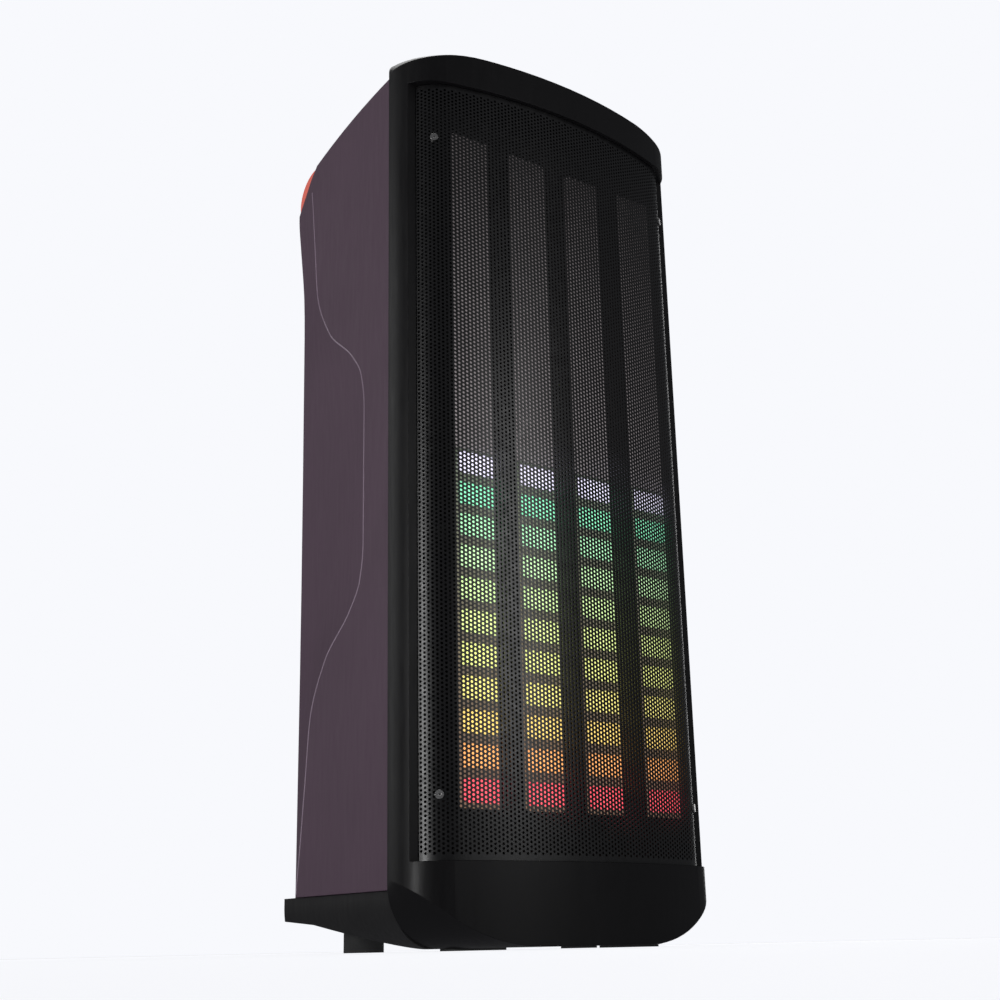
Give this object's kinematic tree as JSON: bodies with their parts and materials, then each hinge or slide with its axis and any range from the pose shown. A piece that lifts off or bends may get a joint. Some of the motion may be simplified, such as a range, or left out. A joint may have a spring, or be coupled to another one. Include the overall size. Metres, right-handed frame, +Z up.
{
  "type": "party speaker",
  "caption": "Tall free-standing party speaker with a bowed grille, glowing level bars, plum sides, control deck, carry handle and rear sockets.",
  "frame": {"origin": "at floor level under the middle of the overall box", "axes": "X to the right, Y to the back, Z up; the grille faces -Y and the speaker is symmetric in outline about X=0"},
  "size_m": [0.308, 0.244, 0.748],
  "materials": {
    "bezel_black": "moulded, fine texture",
    "grille_black": "powder coated perforated sheet",
    "screw_steel": "plated",
    "frame_black": "moulded",
    "base_black": "moulded, fine texture",
    "plum_shell": "moulded, fine texture, mauve grey",
    "coral_handle": "soft touch coral",
    "wood_board": "fibre board",
    "baffle_black": "fibre board painted matte black",
    "rubber_foot": "matte",
    "surround_rubber": "matte",
    "cone_paper": "pressed paper",
    "coil_copper": "wound wire",
    "spider_cloth": "resin treated cloth",
    "magnet_iron": "ferrite and plated steel",
    "led_smoke": "smoked diffuser",
    "circuit_green": "solder mask",
    "heatsink_alu": "extruded",
    "battery_wrap": "shrink wrap",
    "panel_gloss": "polished",
    "display_glass": "tinted window",
    "dial_metal": "anodised dark, spun",
    "light_ring": "milky light guide",
    "knob_plastic": "moulded",
    "key_plastic": "soft keys",
    "socket_black": "moulded"
  },
  "bodies": {
    "cabinet": {"ac_inlet": "socket_black", "amp_board": "circuit_green", "base_plinth": "base_black", "bass_port": "frame_black", "battery_pack": "battery_wrap", "carry_handle": "coral_handle", "case_screws": "screw_steel", "control_panel": "panel_gloss", "dial_light_ring": "light_ring", "display_window": "display_glass", "driver_screws": "screw_steel", "enclosure_walls": "wood_board", "front_baffle": "baffle_black", "front_bezel": "bezel_black", "front_feet": "rubber_foot", "grille": "grille_black", "grille_screws": "screw_steel", "handle_cup": "frame_black", "heatsink": "heatsink_alu", "jack_plate": "frame_black", "led_boards": "circuit_green", "led_carrier": "frame_black", "led_diffuser_1": "led_smoke", "led_diffuser_2": "led_smoke", "led_diffuser_3": "led_smoke", "led_diffuser_4": "led_smoke", "power_supply": "circuit_green", "rear_cover": "frame_black", "rear_feet": "rubber_foot", "rocker_frame": "frame_black", "side_cheek_left": "plum_shell", "side_cheek_right": "plum_shell", "signal_jacks": "socket_black", "spider_lower": "spider_cloth", "spider_upper": "spider_cloth", "top_cover": "plum_shell", "tweeter_driver": "magnet_iron", "tweeter_horn": "frame_black", "usb_port": "socket_black", "woofer_frame_lower": "frame_black", "woofer_frame_upper": "frame_black", "woofer_magnet_lower": "magnet_iron", "woofer_magnet_upper": "magnet_iron", "woofer_surround_lower": "surround_rubber", "woofer_surround_upper": "surround_rubber"},
    "dial": {"volume_dial": "dial_metal"},
    "knob_mic_volume": {"knob_mic_volume": "knob_plastic"},
    "knob_echo": {"knob_echo": "knob_plastic"},
    "knob_bass": {"knob_bass": "knob_plastic"},
    "knob_treble": {"knob_treble": "knob_plastic"},
    "key_power": {"key_power": "key_plastic"},
    "key_source": {"key_source": "key_plastic"},
    "key_light": {"key_light": "key_plastic"},
    "key_boost": {"key_boost": "key_plastic"},
    "key_play": {"key_play": "key_plastic"},
    "rocker": {"power_rocker": "frame_black"},
    "cone_lower": {"woofer_cone_lower": "cone_paper", "voice_coil_lower": "coil_copper"},
    "cone_upper": {"woofer_cone_upper": "cone_paper", "voice_coil_upper": "coil_copper"}
  },
  "joints": [
    {"name": "dial_turn", "type": "hinge", "parent": "cabinet", "child": "dial", "pos_m": [0, -0.01134, 0.72894], "axis": [0, 0.165, 0.9863], "continuous": true},
    {"name": "mic_volume_turn", "type": "hinge", "parent": "cabinet", "child": "knob_mic_volume", "pos_m": [-0.108, 0.00247, 0.72663], "axis": [0, 0.165, 0.9863], "range_deg": [-140, 140]},
    {"name": "echo_turn", "type": "hinge", "parent": "cabinet", "child": "knob_echo", "pos_m": [-0.078, 0.00247, 0.72663], "axis": [0, 0.165, 0.9863], "range_deg": [-140, 140]},
    {"name": "bass_turn", "type": "hinge", "parent": "cabinet", "child": "knob_bass", "pos_m": [0.078, 0.00247, 0.72663], "axis": [0, 0.165, 0.9863], "range_deg": [-140, 140]},
    {"name": "treble_turn", "type": "hinge", "parent": "cabinet", "child": "knob_treble", "pos_m": [0.108, 0.00247, 0.72663], "axis": [0, 0.165, 0.9863], "range_deg": [-140, 140]},
    {"name": "power_press", "type": "slide", "parent": "cabinet", "child": "key_power", "axis": [0, -0.165, -0.9863], "range_m": [0, 0.001], "stiffness_N_per_m": 400},
    {"name": "source_press", "type": "slide", "parent": "cabinet", "child": "key_source", "axis": [0, -0.165, -0.9863], "range_m": [0, 0.001], "stiffness_N_per_m": 400},
    {"name": "light_press", "type": "slide", "parent": "cabinet", "child": "key_light", "axis": [0, -0.165, -0.9863], "range_m": [0, 0.001], "stiffness_N_per_m": 400},
    {"name": "boost_press", "type": "slide", "parent": "cabinet", "child": "key_boost", "axis": [0, -0.165, -0.9863], "range_m": [0, 0.001], "stiffness_N_per_m": 400},
    {"name": "play_press", "type": "slide", "parent": "cabinet", "child": "key_play", "axis": [0, -0.165, -0.9863], "range_m": [0, 0.001], "stiffness_N_per_m": 400},
    {"name": "rocker_tip", "type": "hinge", "parent": "cabinet", "child": "rocker", "pos_m": [0.086, 0.1135, 0.134], "axis": [1, 0, 0], "range_deg": [-16, 0]},
    {"name": "cone_lower_travel", "type": "slide", "parent": "cabinet", "child": "cone_lower", "axis": [0, -1, 0], "range_m": [-0.004, 0.004], "stiffness_N_per_m": 2500},
    {"name": "cone_upper_travel", "type": "slide", "parent": "cabinet", "child": "cone_upper", "axis": [0, -1, 0], "range_m": [-0.004, 0.004], "stiffness_N_per_m": 2500}
  ]
}
